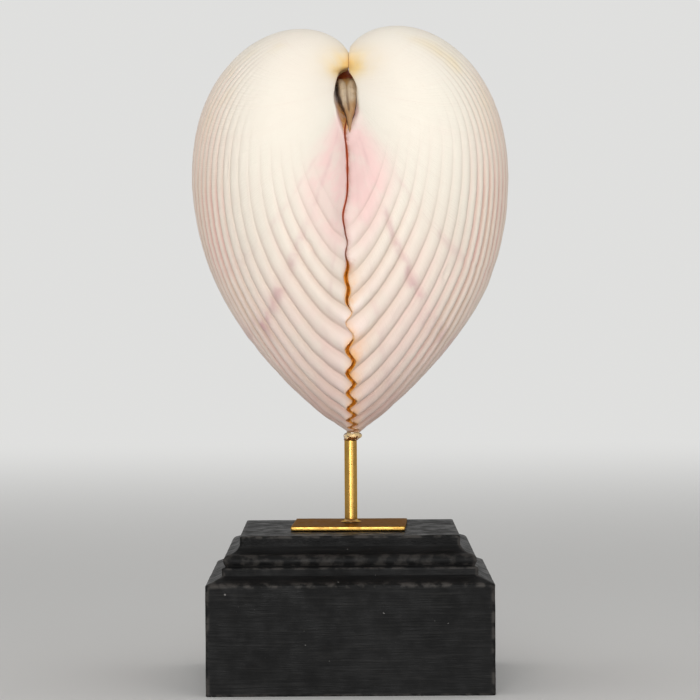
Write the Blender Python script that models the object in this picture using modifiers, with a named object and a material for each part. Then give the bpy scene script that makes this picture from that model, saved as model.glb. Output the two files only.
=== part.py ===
"""A closed heart-shaped cockle shell on a brass post, a brass plate and a stepped wooden plinth.

Units are metres, +Z is up. The origin is the centre of the plinth's underside. The two valves
meet in a plane of constant x, and the side with the ligament faces -Y.

Each valve is grown as a real one is: its closed margin turns about the hinge line and shrinks
towards the beak, so every ring of the shell is the same outline at a smaller size.
"""
import math

import bmesh
import bpy
from mathutils import Matrix, Vector

MM = 0.001
GAP = 0.3 * MM  # air between pieces that touch

# Plinth, square in plan, as half-width and height of each corner of its edge.
PLINTH_STEPS = (
    (44.5, 0.0),
    (44.5, 34.4),
    (39.5, 36.4),
    (39.5, 43.2),
    (34.2, 45.2),
    (34.2, 48.5),
)
PLINTH_TOP = PLINTH_STEPS[-1][1] * MM

# Brass plate and post.
PLATE_SIDE = 36.0 * MM
PLATE_THICKNESS = 1.3 * MM
PLATE_EDGE_ROUNDING = 0.25 * MM
PLATE_YAW = math.radians(-2.0)
PLATE_BOTTOM = PLINTH_TOP + GAP
PLATE_TOP = PLATE_BOTTOM + PLATE_THICKNESS
POST_X = 0.4 * MM
POST_RADIUS = 2.0 * MM
POST_BOTTOM = PLATE_TOP + GAP
POST_TOP = 76.9 * MM
POST_TOP_ROUNDING = 0.3 * MM

# Solder at the post's foot.
SOLDER_RADIUS = 3.3 * MM
SOLDER_HEIGHT = 0.9 * MM
SOLDER_LIP = 0.15 * MM

# Shell: the hinge point is the centre that both beaks grow towards.
SHELL_X = 0.57 * MM
SHELL_LEAN = math.radians(0.48)  # the shell was glued with its lowest edge a little towards +X
HINGE_POINT_Z = 195.8 * MM
HINGE_TILT = math.radians(19.0)
HALF_LENGTH = 64.3 * MM
HALF_HEIGHT = 55.4 * MM
OUTLINE_CENTRE_Y = 0.8 * MM
OUTLINE_CENTRE_Z = -62.1 * MM
OUTLINE_TURN = math.radians(-1.5)
OUTLINE_SQUARENESS = 2.24  # 2 is an ellipse
HINGE_DROP_MEAN = 4.0 * MM  # how far the hinge edge runs below the hinge line
HINGE_DROP_CHANGE = 3.4 * MM  # more than that on the ligament side, less on the other
HINGE_DROP_REACH = 6.0 * MM
HINGE_CORNER_SOFTNESS = 3.0 * MM
HINGE_PLATE_DROP = 0.8 * MM  # under the beaks the edge rises almost to the hinge line
HINGE_PLATE_ALONG = -2.0 * MM
HINGE_PLATE_WIDTH = 6.0 * MM
HINGE_PLATE_REACH = 20.0 * MM  # only the edge this close to the hinge line is raised
SHRINK_RATE = 0.67  # per radian of turn
SHRINK_GAIN = {1: 0.208, -1: 0.258}  # extra shrinking as each beak curls in
SHRINK_GAIN_START = 0.8
FLANK_FULLNESS = {1: 0.0245, -1: 0.0105}  # the right half bulges more below its widest part
FLANK_FULLNESS_TURN = 0.57
FLANK_FULLNESS_REACH = 0.263
SIDE_FULLNESS = {1: 0.008, -1: 0.0135}  # both halves stand a little fuller than the plain spiral
SIDE_FULLNESS_TURN = 0.06
FACET_ALLOWANCE = 1.004  # corners stand proud of the true surface, so that the flats lie on it
OUTLINE_SEGMENTS = 56
OUTLINE_CROWDING = 0.7  # spaces the points closer near the hinge
VALVE_TURN = 3.0  # radians from the margin to the beak's end
VALVE_RINGS = 24

# Inside of a valve.
CAVITY_SHARE = 0.915  # of the outline, which leaves a wall of about 5 mm at the margin
CAVITY_TURN = 1.5
CAVITY_RINGS = 12
CAVITY_SEGMENTS = 40
CAVITY_LEAD = 2.0 * MM

# Ligament: distance along the hinge line, half-width, and drop of its back and of its root.
LIGAMENT_STATIONS = (
    (5.5, 1.2, 2.4, 4.6),
    (7.0, 2.2, 1.5, 5.2),
    (12.0, 2.5, 1.2, 6.0),
    (19.0, 2.5, 1.5, 6.3),
    (26.0, 2.2, 2.7, 6.5),
    (33.0, 1.6, 4.2, 6.5),
    (39.0, 0.9, 5.6, 6.8),
    (42.0, 0.3, 6.3, 6.9),
)
LIGAMENT_SEGMENTS = 16

# Clear adhesive between the post and the shell's lowest edge.
ADHESIVE_RADIUS = 3.4 * MM
ADHESIVE_FLATNESS = 0.85
ADHESIVE_RISE = 0.5 * MM
SHELL_FLANK_SLOPE = math.radians(29.0)

ALONG_HINGE = Vector((0.0, math.cos(HINGE_TILT), math.sin(HINGE_TILT)))
BELOW_HINGE = Vector((0.0, math.sin(HINGE_TILT), -math.cos(HINGE_TILT)))
HINGE_POINT = Vector((SHELL_X, 0.0, HINGE_POINT_Z))


def clear_scene():
    """Removes everything that a new file holds."""
    for obj in list(bpy.data.objects):
        bpy.data.objects.remove(obj, do_unlink=True)


def new_collection(name):
    """Makes a collection under the scene's own."""
    collection = bpy.data.collections.new(name)
    bpy.context.scene.collection.children.link(collection)
    return collection


def material(name, colour, roughness, metallic=0.0, transmission=0.0):
    """Makes a plain Principled material."""
    made = bpy.data.materials.new(name)
    made.use_nodes = True
    shader = made.node_tree.nodes["Principled BSDF"]
    shader.inputs["Base Color"].default_value = (*colour, 1.0)
    shader.inputs["Roughness"].default_value = roughness
    shader.inputs["Metallic"].default_value = metallic
    shader.inputs["Transmission Weight"].default_value = transmission
    return made


def add_object(name, bm, collection, finish=None, location=(0, 0, 0), smooth=True):
    """Turns a bmesh into a named object and places it."""
    mesh = bpy.data.meshes.new(name)
    bm.to_mesh(mesh)
    bm.free()
    if finish:
        mesh.materials.append(finish)
    if smooth:
        mesh.shade_smooth()
        mesh.set_sharp_from_angle(angle=math.radians(35))
    obj = bpy.data.objects.new(name, mesh)
    obj.location = location
    collection.objects.link(obj)
    return obj


def hide_cutter(obj):
    """Keeps a cutter out of the finished part."""
    obj.hide_render = True
    obj.display_type = "WIRE"


def cut(obj, cutter):
    """Takes the cutter's shape out of the object."""
    hide_cutter(cutter)
    modifier = obj.modifiers.new("cut by " + cutter.name, "BOOLEAN")
    modifier.operation = "DIFFERENCE"
    modifier.solver = "EXACT"
    modifier.object = cutter


def turned(name, profile, steps, collection, finish, location=(0, 0, 0)):
    """Turns a profile of (radius, height) pairs, listed from top to bottom, about the Z axis."""
    bm = bmesh.new()
    points = [bm.verts.new((radius, 0.0, height)) for radius, height in profile]
    for first, second in zip(points, points[1:]):
        bm.edges.new((first, second))
    obj = add_object(name, bm, collection, finish, location, smooth=False)
    screw = obj.modifiers.new("turn", "SCREW")
    screw.steps = steps
    screw.render_steps = steps
    screw.use_merge_vertices = True
    screw.merge_threshold = 0.00001
    screw.use_smooth_shade = steps > 4
    return obj


# ---------------------------------------------------------------- stand


def make_plinth(collection):
    """The stepped plinth: its edge profile carried round a square."""
    corner = math.sqrt(2.0) * MM
    profile = [(half * corner, height * MM) for half, height in reversed(PLINTH_STEPS)]
    profile = [(0.0, PLINTH_TOP)] + profile + [(0.0, 0.0)]
    finish = material("black painted wood", (0.012, 0.012, 0.013), 0.6)
    plinth = turned("plinth", profile, 4, collection, finish)
    plinth.rotation_euler.z = math.radians(45.0)


def make_plate(collection):
    """The square brass plate that lies on the plinth."""
    bm = bmesh.new()
    bmesh.ops.create_cube(bm, size=1.0)
    bmesh.ops.scale(bm, vec=(PLATE_SIDE, PLATE_SIDE, PLATE_THICKNESS), verts=bm.verts)
    finish = material("brass sheet", (0.80, 0.55, 0.20), 0.25, metallic=1.0)
    centre = (0.0, 0.0, PLATE_BOTTOM + PLATE_THICKNESS / 2)
    plate = add_object("brass_plate", bm, collection, finish, centre, smooth=False)
    plate.rotation_euler.z = PLATE_YAW
    bevel = plate.modifiers.new("edge rounding", "BEVEL")
    bevel.width = PLATE_EDGE_ROUNDING
    bevel.segments = 2


def make_post(collection):
    """The round brass post between the plate and the shell."""
    profile = (
        (0.0, POST_TOP),
        (POST_RADIUS - POST_TOP_ROUNDING, POST_TOP),
        (POST_RADIUS, POST_TOP - POST_TOP_ROUNDING),
        (POST_RADIUS, POST_BOTTOM),
        (0.0, POST_BOTTOM),
    )
    finish = material("polished brass", (0.83, 0.58, 0.22), 0.18, metallic=1.0)
    turned("brass_post", profile, 32, collection, finish, (POST_X, 0.0, 0.0))


def make_solder(collection):
    """The ring of solder that fills the corner between post and plate."""
    inner = POST_RADIUS + GAP
    bottom = PLATE_TOP + GAP
    middle = (inner + SOLDER_RADIUS) / 2
    profile = (
        (inner, bottom),
        (inner, bottom + SOLDER_HEIGHT),
        (inner + SOLDER_LIP, bottom + SOLDER_HEIGHT),
        (middle, bottom + 0.35 * SOLDER_HEIGHT),
        (SOLDER_RADIUS, bottom + SOLDER_LIP),
        (SOLDER_RADIUS, bottom),
        (inner, bottom),
    )
    finish = material("solder", (0.78, 0.62, 0.34), 0.35, metallic=1.0)
    turned("solder_fillet", profile, 32, collection, finish, (POST_X, 0.0, 0.0))


# ---------------------------------------------------------------- shell


def signed_power(value, power):
    """Raises the size of a number to a power and keeps its sign."""
    return math.copysign(abs(value) ** power, value)


def outline_point(turn, share=1.0):
    """A point of the closed margin, from the hinge point. Turn is 0 at the lowest edge."""
    power = 2.0 / OUTLINE_SQUARENESS
    across = -HALF_LENGTH * signed_power(math.sin(turn), power) * share
    upward = -HALF_HEIGHT * signed_power(math.cos(turn), power) * share
    cosine = math.cos(OUTLINE_TURN)
    sine = math.sin(OUTLINE_TURN)
    y = OUTLINE_CENTRE_Y + across * cosine - upward * sine
    z = OUTLINE_CENTRE_Z + across * sine + upward * cosine
    point = Vector((0.0, y, z))
    along = -point.dot(ALONG_HINGE)
    drop = point.dot(BELOW_HINGE)
    least = HINGE_DROP_MEAN + HINGE_DROP_CHANGE * math.tanh(along / HINGE_DROP_REACH)
    least += (1.0 - share) * HALF_HEIGHT
    softened = math.hypot(drop - least, HINGE_CORNER_SOFTNESS)
    drop = (drop + least + softened) / 2
    beside_plate = (along - HINGE_PLATE_ALONG) / HINGE_PLATE_WIDTH
    plate_drop = HINGE_PLATE_DROP + (1.0 - share) * HALF_HEIGHT
    lift = math.exp(-(beside_plate**2) - (drop / HINGE_PLATE_REACH) ** 4)
    drop = plate_drop + (drop - plate_drop) * (1.0 - lift)
    return -along * ALONG_HINGE + drop * BELOW_HINGE


def size_after(turn, side):
    """How large a half of the shell was when it still had this many radians to turn."""
    late = max(0.0, turn - SHRINK_GAIN_START)
    beside_flank = (turn - FLANK_FULLNESS_TURN) / FLANK_FULLNESS_REACH
    local = FLANK_FULLNESS[side] * math.exp(-(beside_flank**2))
    local += SIDE_FULLNESS[side] * (1.0 - math.exp(-((turn / SIDE_FULLNESS_TURN) ** 2)))
    return math.exp(-SHRINK_RATE * turn - SHRINK_GAIN[side] * late**3 / 3 + local)


def start_ring(bm, segments, share, x):
    """Draws the margin as a closed line."""
    ring = bmesh.ops.create_circle(bm, segments=segments, radius=HALF_HEIGHT)["verts"]
    for index, vert in enumerate(ring):
        even = math.tau * index / segments
        place = outline_point(even + OUTLINE_CROWDING * math.sin(even), share)
        vert.co = place * FACET_ALLOWANCE
        vert.co.x = x
    return bm.edges[:]


def extruded(bm, edges):
    """Extrudes a closed line of edges. Returns the new verts and edges."""
    made = bmesh.ops.extrude_edge_only(bm, edges=edges)["geom"]
    verts = [item for item in made if isinstance(item, bmesh.types.BMVert)]
    ring = [item for item in made if isinstance(item, bmesh.types.BMEdge)]
    ring = [edge for edge in ring if edge.verts[0] in verts and edge.verts[1] in verts]
    return verts, ring


def grow(bm, edges, side, total_turn, rings):
    """Carries the margin round the hinge line, shrinking towards the hinge point."""
    step = total_turn / rings
    turning = Matrix.Rotation(-side * step, 3, ALONG_HINGE)
    for index in range(rings):
        verts, edges = extruded(bm, edges)
        ratio = size_after((index + 1) * step, side) / size_after(index * step, side)
        bmesh.ops.rotate(bm, cent=(0, 0, 0), matrix=turning, verts=verts)
        bmesh.ops.scale(bm, vec=(ratio, ratio, ratio), verts=verts)


def close_ends(bm):
    """Fills the open ends and turns all faces outwards."""
    open_edges = [edge for edge in bm.edges if edge.is_boundary]
    bmesh.ops.holes_fill(bm, edges=open_edges)
    bmesh.ops.recalc_face_normals(bm, faces=bm.faces)


def make_valve(name, side, collection, cutters, finish):
    """One half of the shell. Side is +1 for the half at +X and -1 for the other."""
    outside = bmesh.new()
    margin = start_ring(outside, OUTLINE_SEGMENTS, 1.0, 0.0)
    grow(outside, margin, side, VALVE_TURN, VALVE_RINGS)
    close_ends(outside)
    place = HINGE_POINT + Vector((side * GAP / 2, 0.0, 0.0))
    valve = add_object(name, outside, collection, finish, place)
    valve.rotation_euler.y = -SHELL_LEAN

    inside = bmesh.new()
    mouth = start_ring(inside, CAVITY_SEGMENTS, CAVITY_SHARE, -side * CAVITY_LEAD)
    verts, mouth = extruded(inside, mouth)
    bmesh.ops.translate(inside, vec=(side * CAVITY_LEAD, 0.0, 0.0), verts=verts)
    grow(inside, mouth, side, CAVITY_TURN, CAVITY_RINGS)
    close_ends(inside)
    cavity = add_object(name + "_cavity", inside, cutters, location=place)
    cavity.rotation_euler.y = -SHELL_LEAN
    cut(valve, cavity)


def make_ligament(collection):
    """The band that joins the valves: oval rings drawn out along the hinge line."""
    bm = bmesh.new()
    bmesh.ops.create_circle(bm, segments=LIGAMENT_SEGMENTS, radius=1.0)
    shape = [vert.co.copy() for vert in bm.verts]
    verts, edges = bm.verts[:], bm.edges[:]
    for index, (along, half_width, back, root) in enumerate(LIGAMENT_STATIONS):
        if index:
            verts, edges = extruded(bm, edges)
        for vert, place in zip(verts, shape):
            drop = (back + root) / 2 + place.y * (root - back) / 2
            vert.co = (drop * BELOW_HINGE - along * ALONG_HINGE) * MM
            vert.co.x = place.x * half_width * MM
    close_ends(bm)
    finish = material("ligament", (0.45, 0.36, 0.24), 0.6)
    ligament = add_object("ligament", bm, collection, finish, HINGE_POINT)
    ligament.rotation_euler.y = -SHELL_LEAN


def make_adhesive(collection, cutters):
    """The bead of clear adhesive that cups the shell's lowest edge on the post."""
    bead = bmesh.new()
    bmesh.ops.create_uvsphere(bead, u_segments=28, v_segments=16, radius=ADHESIVE_RADIUS)
    bmesh.ops.scale(bead, vec=(1.0, 1.0, ADHESIVE_FLATNESS), verts=bead.verts)
    finish = material("clear adhesive", (0.95, 0.93, 0.86), 0.1, transmission=0.9)
    centre = (POST_X, 0.0, POST_TOP + ADHESIVE_RISE)
    adhesive = add_object("adhesive_bead", bead, collection, finish, centre)

    rod = bmesh.new()
    radius = POST_RADIUS + GAP
    depth = 4 * ADHESIVE_RADIUS
    bmesh.ops.create_cone(
        rod, cap_ends=True, segments=32, radius1=radius, radius2=radius, depth=depth
    )
    rod_centre = (POST_X, 0.0, POST_TOP + GAP - depth / 2)
    cut(adhesive, add_object("post_room", rod, cutters, location=rod_centre))

    lowest = FACET_ALLOWANCE * min(outline_point(math.tau * step / 360).z for step in range(360))
    reach = 4 * ADHESIVE_RADIUS
    wedge = bmesh.new()
    bmesh.ops.create_cone(
        wedge, cap_ends=True, segments=3, radius1=reach, radius2=reach, depth=reach
    )
    bmesh.ops.rotate(wedge, matrix=Matrix.Rotation(math.radians(90.0), 3, "X"), verts=wedge.verts)
    apex = min(wedge.verts, key=lambda vert: vert.co.z)
    others = [vert for vert in wedge.verts if abs(vert.co.z - apex.co.z) > reach / 2]
    foot = apex.co.z
    for vert in others:
        vert.co.z = foot + reach * math.tan(SHELL_FLANK_SLOPE)
        vert.co.x = math.copysign(reach, vert.co.x)
    bmesh.ops.translate(wedge, vec=(0.0, 0.0, -foot), verts=wedge.verts)
    bmesh.ops.recalc_face_normals(wedge, faces=wedge.faces)
    tip_x = SHELL_X - lowest * math.sin(SHELL_LEAN)
    wedge_place = (tip_x, 0.0, HINGE_POINT_Z + lowest - GAP)
    cut(adhesive, add_object("shell_room", wedge, cutters, location=wedge_place))


def main():
    clear_scene()
    parts = new_collection("cockle_shell")
    cutters = new_collection("cutters")
    make_plinth(parts)
    make_plate(parts)
    make_post(parts)
    make_solder(parts)
    make_adhesive(parts, cutters)
    shell = material("shell", (0.93, 0.84, 0.78), 0.45)
    make_valve("right_valve", 1, parts, cutters, shell)
    make_valve("left_valve", -1, parts, cutters, shell)
    make_ligament(parts)


main()
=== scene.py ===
"""A closed heart-shaped cockle shell on a brass post, a brass plate and a stepped black plinth.

Lengths are metres and +Z is up. The halves of the shell meet in a plane of constant x, and the
side with the ligament faces -Y. Each half is grown: its closed margin is extruded ring by ring,
turned about the hinge line and shrunk towards the beak, and the ribs, growth lines and scars are
then worked into that surface.
"""

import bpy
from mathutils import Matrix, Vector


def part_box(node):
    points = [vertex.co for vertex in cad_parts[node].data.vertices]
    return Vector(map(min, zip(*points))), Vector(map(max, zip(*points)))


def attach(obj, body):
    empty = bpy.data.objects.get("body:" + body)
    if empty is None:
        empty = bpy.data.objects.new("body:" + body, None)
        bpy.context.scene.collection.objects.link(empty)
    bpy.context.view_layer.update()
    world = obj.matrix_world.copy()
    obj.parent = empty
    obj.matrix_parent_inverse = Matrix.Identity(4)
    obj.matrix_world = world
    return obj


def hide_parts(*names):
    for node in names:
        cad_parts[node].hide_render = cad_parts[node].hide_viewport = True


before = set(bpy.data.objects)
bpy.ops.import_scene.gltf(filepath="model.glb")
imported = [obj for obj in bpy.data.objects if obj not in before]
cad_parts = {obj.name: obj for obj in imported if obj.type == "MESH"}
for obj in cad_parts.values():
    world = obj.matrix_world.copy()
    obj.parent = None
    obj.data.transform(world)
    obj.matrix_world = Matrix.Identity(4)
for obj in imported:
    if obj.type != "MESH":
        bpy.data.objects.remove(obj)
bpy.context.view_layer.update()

import bisect
import math

import bmesh
import bpy
from mathutils import Matrix, Vector, noise

MM = 0.001


def mm(*lengths):
    """Lengths given in millimetres."""
    return tuple(length * MM for length in lengths)


# ---- sizes taken from the frame

_, PLINTH_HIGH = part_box("plinth")
PLATE_LOW, PLATE_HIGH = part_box("brass_plate")
POST_LOW, POST_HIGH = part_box("brass_post")
SOLDER_LOW, SOLDER_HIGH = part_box("solder_fillet")

# ---- the shell's growth

SHELL_X = 0.57 * MM
SHELL_LEAN = math.radians(0.48)
HINGE_POINT = Vector((SHELL_X, 0.0, 195.8 * MM))
HINGE_TILT = math.radians(19.0)
ALONG_HINGE = Vector((0.0, math.cos(HINGE_TILT), math.sin(HINGE_TILT)))
BELOW_HINGE = Vector((0.0, math.sin(HINGE_TILT), -math.cos(HINGE_TILT)))
HALF_LENGTH = 64.3 * MM
HALF_HEIGHT = 55.4 * MM
OUTLINE_CENTRE_Y = 0.8 * MM
OUTLINE_CENTRE_Z = -62.1 * MM
OUTLINE_TURN = math.radians(-1.5)
OUTLINE_SQUARENESS = 2.24
HINGE_DROP_MEAN = 4.0 * MM
HINGE_DROP_CHANGE = 3.4 * MM
HINGE_DROP_REACH = 6.0 * MM
HINGE_CORNER_SOFTNESS = 3.0 * MM
HINGE_PLATE_DROP = 0.8 * MM
HINGE_PLATE_ALONG = -2.0 * MM
HINGE_PLATE_WIDTH = 6.0 * MM
HINGE_PLATE_REACH = 20.0 * MM
SHRINK_RATE = 0.67
SHRINK_GAIN = {1: 0.208, -1: 0.258}
SHRINK_GAIN_START = 0.8
FLANK_FULLNESS = {1: 0.0245, -1: 0.0105}
FLANK_FULLNESS_TURN = 0.57
FLANK_FULLNESS_REACH = 0.263
SIDE_FULLNESS = {1: 0.008, -1: 0.0135}
SIDE_FULLNESS_TURN = 0.06
BEAK_TURN = 3.07  # radians from the margin to the beak's end
BEAK_CLOSING = 0.6 * MM  # the beaks are drawn in by this much where they touch
BEAK_CLOSING_REACH = 4.5 * MM
BEAK_GAP = 0.008 * MM
BEAKS_MEET = mm(-1.8, -0.4)  # above the hinge point
BEAKS_PART = mm(3.8, 5.0)
BEAK_DOME = (0.93, 0.86, 0.69, 0.45)  # the sizes of the rings that close a beak's end
CAVITY_SHARE = 0.915
CAVITY_FIRST_TURN = 0.03
CAVITY_TURN = 1.5
CAVITY_RINGS = 20
FIRST_CAVITY_RING = -10
# The edge's share of the outline, and how far out its lip is: 1 at the opening, 0 when closed.
EDGE_WALL = ((0.9975, 0.8), (0.991, 0.4), (0.982, 0.0), (0.955, 0.0), (0.922, 0.0))

# Ribs.
RIB_PITCH = 9.1 * MM  # at the margin, below the arc where the ribs turn narrower
NARROW_RIB_PITCH = 7.1 * MM
NARROW_RIBS_ARC = 74.8 * MM  # a groove of the right half lies here
LEFT_RIB_OFFSET = -0.47  # of a pitch: the left half's grooves lie between the right half's
RIB_STEPS = (0.0, 0.055, 0.13, 0.24, 0.37, 0.5, 0.63, 0.76, 0.87, 0.945)
RIB_DEPTH = 1.25 * MM
RIB_FULLNESS = 0.64  # below 1 the crowns are broad and the grooves narrow
RIB_BENDS = {  # in mm, everywhere and more at the low end, and the turns between which they bend
    1: ((3.3, 12.5, 0.0, 0.55), (-8.0, 0.0, 0.65, 1.55)),
    -1: ((0.0, 11.8, 0.0, 0.5), (-2.6, 0.0, 0.9, 1.5), (-2.6, 0.0, 0.0, 0.2)),
}
WORN_TURN = 1.72  # where growth has worn the lowest ribs away, and how much sooner per mm of arc
WORN_SOONER = 0.0105
GROWTH_LENGTH = 118.0  # mm of growth in a radian at the margin
MAP_LENGTH = 176.0  # mm of growth from the margin to the beak

# Stretches of the margin, as the arcs between which something changes.
LOW_END = mm(-15, 72)
STRONG_RIBS_END = mm(12, 48)
RIBS_THIN = mm(78, 94)
RIBS_END = mm(98, 110)
FAR_RIBS_END = mm(120, 155)
BENDS_END = mm(100, 150)
FAR_BENDS_END = mm(115, 180)
FOLDS_BEGIN = mm(84, 100)
BLUSH_BEGINS = mm(84, 106)
BLUSH_FADES = mm(140, 165)
GROWTH_SMOOTHER = mm(88, 115)
LEDGES_END = mm(70, 95)
AMBER_ENDS = mm(86, 96)
SWING_DROPS = mm(77, 82)
SWING_ENDS = mm(98, 105)
SEAM_STRAIGHT = mm(145, 168)
LOW_GAPE_ENDS = mm(66, 71)
MIDDLE_GAPE_BEGINS = mm(78, 81.5)
MIDDLE_GAPE_ENDS = mm(88, 98)
HIGH_GAPE_BEGINS = mm(100, 106)
REDDER_BEGINS = mm(96, 104)
HINGE_SMOOTH = mm(165, 185)

# The same for distances below the hinge point, and for distances across from the seam.
# rose share below the hinge point: a pink tint, partly painted shade towards the bottom
ROSE_AND_SHADE_BEGINS = mm(30, 75)
ROSE_AND_SHADE_DEEPENS = mm(90, 122)
LOW_BLUSH_BEGINS = mm(45, 95)
SLOT_LIP_BEGINS = mm(10.5, 13.5)
SLOT_LIP_NARROWS = mm(14, 23)
SLOT_LIP_ENDS = mm(21, 24)
# rose share on the sides, away from the seam: partly painted shade
SHADE_AND_ROSE_FLANKS = mm(32, 50)

# The seam. It moves aside by so many mm between two arcs, and back again at a hump.
SEAM_STEPS = ((-0.77, 8, 30), (-0.75, 68, 90), (0.6, 108, 118), (-0.6, 126, 140))
SEAM_HUMP = (-0.95, 107.3, 4.2)
SEAM_SWING = 0.95
WIDER_SWING = (0.2, 75, 3)
SHIFT_REACH = 3.2 * MM  # how far from the seam the surface follows it
GAP_REACH = 3.4 * MM
NARROWING_REACH = 6.0 * MM
EDGE_CLEARANCE = 0.05 * MM
LEAST_DEPTH = 0.05 * MM  # ribs and growth are cut into the smooth shape by at least this much
FAINT_SCARS = ((0.4, 0.62, 0.02), (0.35, 0.13, 0.015))  # strength, turn and width of each line
SCARS = {1: ((1.0, 0.355, 0.03), *FAINT_SCARS), -1: ((1.0, 0.4, 0.03), *FAINT_SCARS)}


def eased(value, start, end):
    """0 before start, 1 after end, and a smooth change between."""
    share = min(1.0, max(0.0, (value - start) / (end - start)))
    return share * share * (3.0 - 2.0 * share)


def fading(value, start, end):
    """1 before start and 0 after end."""
    return 1.0 - eased(value, start, end)


def hump(value, centre, width):
    """1 at the centre, falling away on both sides."""
    return math.exp(-(((value - centre) / width) ** 2))


def signed_power(value, power):
    """Raises the size of a number to a power and keeps its sign."""
    return math.copysign(abs(value) ** power, value)


def outline_point(turn, share=1.0):
    """A point of the closed margin, from the hinge point. Turn is 0 at the lowest edge."""
    power = 2.0 / OUTLINE_SQUARENESS
    across = -HALF_LENGTH * signed_power(math.sin(turn), power) * share
    upward = -HALF_HEIGHT * signed_power(math.cos(turn), power) * share
    cosine = math.cos(OUTLINE_TURN)
    sine = math.sin(OUTLINE_TURN)
    y = OUTLINE_CENTRE_Y + across * cosine - upward * sine
    z = OUTLINE_CENTRE_Z + across * sine + upward * cosine
    point = Vector((0.0, y, z))
    along = -point.dot(ALONG_HINGE)
    drop = point.dot(BELOW_HINGE)
    least = HINGE_DROP_MEAN + HINGE_DROP_CHANGE * math.tanh(along / HINGE_DROP_REACH)
    least += (1.0 - share) * HALF_HEIGHT
    softened = math.hypot(drop - least, HINGE_CORNER_SOFTNESS)
    drop = (drop + least + softened) / 2
    beside_plate = (along - HINGE_PLATE_ALONG) / HINGE_PLATE_WIDTH
    plate_drop = HINGE_PLATE_DROP + (1.0 - share) * HALF_HEIGHT
    lift = math.exp(-(beside_plate**2) - (drop / HINGE_PLATE_REACH) ** 4)
    drop = plate_drop + (drop - plate_drop) * (1.0 - lift)
    return -along * ALONG_HINGE + drop * BELOW_HINGE


def size_after(turn, side):
    """How large a half of the shell was when it still had this many radians to turn."""
    late = max(0.0, turn - SHRINK_GAIN_START)
    beside_flank = (turn - FLANK_FULLNESS_TURN) / FLANK_FULLNESS_REACH
    local = FLANK_FULLNESS[side] * math.exp(-(beside_flank**2))
    local += SIDE_FULLNESS[side] * (1.0 - math.exp(-((turn / SIDE_FULLNESS_TURN) ** 2)))
    return math.exp(-SHRINK_RATE * turn - SHRINK_GAIN[side] * late**3 / 3 + local)


# Arc length along the margin, from the lowest edge: positive on the ligament's side.
MARGIN_STEPS = 2400
MARGIN_TURNS = [math.tau * index / MARGIN_STEPS - math.pi for index in range(MARGIN_STEPS + 1)]
MARGIN_ARCS = [0.0]
for earlier, later in zip(MARGIN_TURNS, MARGIN_TURNS[1:]):
    stretch = (outline_point(later) - outline_point(earlier)).length
    MARGIN_ARCS.append(MARGIN_ARCS[-1] + stretch)
LOWEST_ARC = MARGIN_ARCS[MARGIN_STEPS // 2]
MARGIN_ARCS = [arc - LOWEST_ARC for arc in MARGIN_ARCS]


def turn_at(arc):
    """The outline's turn at an arc length from the lowest edge."""
    index = min(max(bisect.bisect(MARGIN_ARCS, arc), 1), MARGIN_STEPS)
    start, end = MARGIN_ARCS[index - 1], MARGIN_ARCS[index]
    share = (arc - start) / (end - start)
    return MARGIN_TURNS[index - 1] + share * (MARGIN_TURNS[index] - MARGIN_TURNS[index - 1])


def rib_arc(phase):
    """Where a rib phase of the right half lies on the margin: its grooves are whole numbers."""
    return NARROW_RIBS_ARC + phase * (NARROW_RIB_PITCH if phase > 0 else RIB_PITCH)


def rib_phase(arc):
    """The right half's rib phase at an arc of the margin."""
    above = arc - NARROW_RIBS_ARC
    return above / (NARROW_RIB_PITCH if above > 0 else RIB_PITCH)


def rib_lines(side):
    """The lines that run from the margin to the beak, as (arc, rib phase): ten to a rib."""
    offset = 0.0 if side > 0 else LEFT_RIB_OFFSET
    first = math.floor(rib_phase(MARGIN_ARCS[0])) - 1
    last = math.ceil(rib_phase(MARGIN_ARCS[-1])) + 1
    lines = []
    for rib in range(first, last + 1):
        for step in RIB_STEPS:
            arc = rib_arc(rib + step + offset)
            if MARGIN_ARCS[0] < arc < MARGIN_ARCS[-1] - 0.3 * MM:
                lines.append((arc, rib + step))
    return lines


def growth_turns():
    """The turns of the outer rings: close together at the margin and finer than the ribs."""
    turns = [0.0, 0.0025, 0.007, 0.014, 0.023, 0.034]
    while turns[-1] < BEAK_TURN:
        turns.append(turns[-1] + 0.0132 / math.sqrt(size_after(turns[-1], 1)))
    turns[-1] = BEAK_TURN
    return turns


RING_TURNS = growth_turns()


# ---- how ribs and margin vary

def rib_strength(arc, turn):
    """How strongly the ribs stand out: smooth beside the ligament, worn on the beaks."""
    beside_ligament = 1.0 - 0.5 * eased(arc, *RIBS_THIN) - 0.5 * eased(arc, *RIBS_END)
    far_side = 1.0 - 0.85 * eased(-arc, *FAR_RIBS_END)
    worn_from = WORN_TURN - WORN_SOONER * max(0.0, arc / MM)
    worn = 1.0 - 0.93 * eased(turn, worn_from - 0.35, worn_from + 0.45)
    softer_up = 1.0 - 0.42 * eased(turn, 0.2, 0.8)
    softer_up -= 0.35 * hump(arc, 75 * MM, 38 * MM) * eased(turn, 0.35, 0.8)
    lower = fading(arc, *STRONG_RIBS_END) * eased(turn, 0.1, 0.35)
    softer_up += 0.8 * lower * fading(turn, 0.8, 1.15)
    near_hinge = fading(abs(arc), *HINGE_SMOOTH)
    return beside_ligament * far_side * worn * softer_up * near_hinge


def rib_height(phase):
    """0 in a groove and 1 on a rib's crown."""
    across = 2.0 * abs(phase - math.floor(phase + 0.5))
    return math.sin(across * math.pi / 2) ** RIB_FULLNESS


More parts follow.
